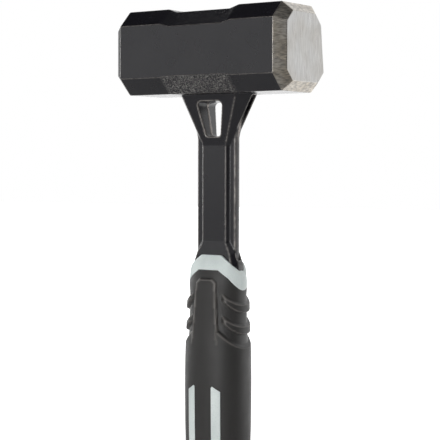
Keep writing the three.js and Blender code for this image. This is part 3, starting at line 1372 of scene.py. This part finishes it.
@dataclass
class SoftGrip:
    """The soft black layer, with the lined hanging hole. Millimetres."""

    handle: Handle
    stripes: Stripes
    shank: Shank
    hole_radius: float = 4.0
    hole_lining: float = 2.0
    hole_height: float = 15.0
    bar_length: float = 70.0

    def build(self, material: bpy.types.Material) -> bpy.types.Object:
        """Makes the soft grip.

        Args:
            material: the soft black rubber.

        Returns:
            The finished piece.
        """
        handle = self.handle
        solid = handle.form(0.0, 0.0, 210, 420, True)
        lining = self.bar(self.hole_radius + self.hole_lining)
        combine(lining, solid, Join.COMMON, keep=True)
        combine(solid, handle.above_wave(handle.grip_top - handle.joint), Join.CUT)
        combine(solid, handle.form(-handle.wall, handle.floor, 60, 60, False), Join.CUT)
        combine(solid, self.shank.rough(handle.joint), Join.CUT)
        combine(solid, lining, Join.UNION)
        combine(solid, self.bar(self.hole_radius), Join.CUT)
        for face in (-1, 1):
            for side in (-1, 1):
                combine(solid, self.stripes.cutter(side, face, 0.0), Join.CUT)
        dress(mark_edges(solid), material)
        return deliver(solid, "soft_grip", ["outer_grip"])

    def bar(self, radius: float) -> bpy.types.Object:
        """Makes a round bar across the butt where the hanging hole is.

        Args:
            radius: the bar's radius.

        Returns:
            A closed solid in millimetres.
        """
        bm = bmesh.new()
        place = Matrix.Translation((0, 0, self.hole_height)) @ Matrix.Rotation(math.pi / 2, 4, "X")
        bmesh.ops.create_cone(
            bm, cap_ends=True, segments=48, radius1=radius, radius2=radius, depth=self.bar_length,
            matrix=place,
        )
        return new_object(bm, "bar")


# ---------------------------------------------------------------- studio


def towards(azimuth: float, elevation: float) -> Vector:
    """The direction of a place seen from the hammer.

    Args:
        azimuth: degrees round from the front, towards +X.
        elevation: degrees above the floor.

    Returns:
        A vector of length 1.
    """
    turn, rise = math.radians(azimuth), math.radians(elevation)
    return Vector((math.sin(turn) * math.cos(rise), -math.cos(turn) * math.cos(rise), math.sin(rise)))


@dataclass(frozen=True)
class Viewpoint:
    """Where the camera stands, in degrees and millimetres."""

    azimuth: float = 35.19
    elevation: float = 1.98
    roll: float = 0.12
    distance: float = 827.0
    aim_right: float = 0.7
    aim_down: float = 95.0
    lens: float = 119.8

    def build(self, head_middle: float) -> bpy.types.Object:
        """Makes the camera.

        Args:
            head_middle: height of the head's middle in millimetres.

        Returns:
            The camera.
        """
        azimuth, roll = math.radians(self.azimuth), math.radians(self.roll)
        right = Vector((math.cos(azimuth), math.sin(azimuth), 0))
        back = towards(self.azimuth, self.elevation)
        up = back.cross(right)
        across = right * math.cos(roll) + up * math.sin(roll)
        upright = up * math.cos(roll) - right * math.sin(roll)
        aim = Vector((0, 0, head_middle)) + across * self.aim_right - upright * self.aim_down
        data = bpy.data.cameras.new("camera")
        data.lens = self.lens
        data.clip_start, data.clip_end = 0.05, 50.0
        camera = bpy.data.objects.new("camera", data)
        bpy.context.scene.collection.objects.link(camera)
        turn = Matrix((across, upright, back)).transposed()
        camera.matrix_world = Matrix.Translation((aim + back * self.distance) * MM) @ turn.to_4x4()
        bpy.context.scene.camera = camera
        return camera


@dataclass(frozen=True)
class SoftBox:
    """A soft light far off: an ellipse with a blurred rim, in degrees. Azimuth 0 is the front."""

    azimuth: float
    elevation: float
    half_width: float
    half_height: float
    strength: float
    core: float = 0.5

    def glow(self, tree: bpy.types.NodeTree, direction: bpy.types.NodeSocket) -> bpy.types.Node:
        """Adds the nodes that tell how bright the box is in a direction.

        Args:
            tree: the world's tree.
            direction: the direction looked in.

        Returns:
            The node that gives the radiance, 0 outside the ellipse.
        """
        azimuth = math.radians(self.azimuth)
        right = Vector((math.cos(azimuth), math.sin(azimuth), 0.0))
        aim = towards(self.azimuth, self.elevation)
        off_centre = 0.0
        for axis, half in ((right, self.half_width), (aim.cross(right), self.half_height)):
            dot = add_node(tree, "VectorMath", {0: direction, 1: axis}, operation="DOT_PRODUCT")
            rim = math.sin(math.radians(half))
            share = add_node(tree, "Math", {0: dot.outputs["Value"], 1: rim}, operation="DIVIDE")
            off_centre = add_node(
                tree, "Math", {0: share, 1: share, 2: off_centre}, operation="MULTIPLY_ADD"
            )
        bright = add_node(
            tree,
            "MapRange",
            {
                "Value": off_centre,
                "From Min": self.core**2,
                "From Max": 1.0,
                "To Min": self.strength,
                "To Max": 0.0,
            },
            interpolation_type="SMOOTHSTEP",
        )
        dot = add_node(tree, "VectorMath", {0: direction, 1: aim}, operation="DOT_PRODUCT")
        ahead = add_node(tree, "Math", {0: dot.outputs["Value"], 1: 0.0}, operation="GREATER_THAN")
        return add_node(tree, "Math", {0: bright, 1: ahead}, operation="MULTIPLY")


@dataclass(frozen=True)
class Studio:
    """A plain pale floor and backdrop with soft boxes round the hammer."""

    floor_colour: str = "F4F4F4"
    floor_glow: float = 0.62
    floor_back_glow: float = 1.3
    floor_size: float = 6.0
    boxes: tuple[SoftBox, ...] = (
        SoftBox(166, 4, 78, 75, 1.25, 0.6),  # wide, behind
        SoftBox(-38, -5, 38, 32, 1.2, 0.4),  # front left
        SoftBox(-92, -4, 9, 34, 9.0, 0.6),  # strip at the left
        SoftBox(2, 0, 11, 40, 10.5, 0.6),  # strip in front
        SoftBox(48, -3, 20, 40, 0.55),  # front right
        SoftBox(60, 48, 24, 24, 0.6),  # high on the right
        SoftBox(-145, 0, 34, 50, 0.6),  # rear left
    )
    base: float = 0.035  # light from where no box is

    def build(self) -> None:
        """Makes the floor, the backdrop colour and the soft boxes."""
        self.build_floor()
        world = bpy.data.worlds.new("studio")
        bpy.context.scene.world = world
        bpy.context.scene.view_settings.view_transform = "Standard"
        world.use_nodes = True
        tree = world.node_tree
        tree.nodes.clear()
        direction = add_node(tree, "TexCoord").outputs["Generated"]
        total = self.base
        for box in self.boxes:
            total = add_node(tree, "Math", {0: box.glow(tree, direction), 1: total}, operation="ADD")
        # The camera sees plain white where the hammer sees the boxes
        seen = add_node(tree, "LightPath").outputs["Is Camera Ray"]
        white = linear("FFFFFF")
        soft = add_node(tree, "Background", {"Color": white, "Strength": total})
        plain = add_node(tree, "Background", {"Color": white, "Strength": 1.0})
        both = add_node(tree, "MixShader", {0: seen, 1: soft, 2: plain})
        add_node(tree, "OutputWorld", {"Surface": both})

    def build_floor(self) -> None:
        """Makes the floor: white, and lit more brightly behind the hammer."""
        bm = bmesh.new()
        bmesh.ops.create_grid(bm, x_segments=1, y_segments=1, size=self.floor_size)
        floor = new_object(bm, "floor")
        # Matt white emulsion: no highlights, only the hammer's soft shadow
        material, tree = new_material("matt_white_emulsion")
        seen = add_node(tree, "LightPath").outputs["Is Camera Ray"]
        place = add_node(tree, "TexCoord").outputs["Object"]
        back = add_node(tree, "SeparateXYZ", {"Vector": place}).outputs["Y"]
        rise = {"Value": back, "From Min": 0.1, "From Max": 0.35, "To Max": self.floor_back_glow}
        front = add_node(tree, "Math", {0: seen, 1: self.floor_glow}, operation="MULTIPLY")
        glow = add_node(
            tree, "Math", {0: front, 1: add_node(tree, "MapRange", rise)}, operation="MAXIMUM"
        )
        shader = add_node(
            tree,
            "BsdfPrincipled",
            {
                "Base Color": linear(self.floor_colour),
                "Roughness": 0.9,
                "Emission Color": linear("FFFFFF"),
                "Emission Strength": glow,
            },
        )
        add_node(tree, "OutputMaterial", {"Surface": shader})
        dress(floor, material)


# ---------------------------------------------------------------- assembly


def dress_core() -> None:
    """Gives the hidden core its nylon."""
    # Glass-filled nylon, moulded: a dark grey, dull and slightly uneven from the glass at its skin
    nylon = MouldedPlastic("glass_filled_nylon", "3C4040", "2E3232", 0.55, 0.5, 0.2)
    dress(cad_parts["tang_core"], nylon.build())
    log.info("tang_core: kept from the frame")


def main() -> None:
    """Builds the hammer piece by piece, with the studio round it."""
    logging.basicConfig(level=logging.INFO, format="%(name)s %(message)s")
    grip_high = corners_mm("outer_grip")[1]
    collar_top = corners_mm("collar")[1].z
    stripe_low, stripe_high = corners_mm("stripe_front_left")
    head = HammerHead(corners_mm("forged_head_and_shank")[1])
    shank = Shank(head, collar_top)
    Viewpoint().build(head.high.z - head.height / 2)
    Studio().build()
    Forging(head, shank).build()
    handle = Handle(grip_high, grip_high.z + CAD_GAP, collar_top)
    # Polypropylene, moulded: a pale cool grey, waxy and half dull
    light = MouldedPlastic("light_grey_polypropylene", "ECF3F1", "CBD6D4", 0.5, 0.8, 0.15).build()
    # Thermoplastic rubber, moulded over the core: a warm near-black and dull.
    # A lighter grey along its edges is a painted highlight
    soft = MouldedPlastic(
        "black_soft_rubber", "2A2827", "222120", 0.5, 0.35, 0.25,
        sheen=0.1, edge_highlight_tone="7E7A76", edge_highlight_share=0.6,
    ).build()
    stripes = Stripes(handle, stripe_low.z - CAD_GAP, stripe_high.z + CAD_GAP)
    Collar(handle, shank).build(light)
    stripes.build(light)
    SoftGrip(handle, stripes, shank).build(soft)
    dress_core()


if __name__ == "__main__":
    main()
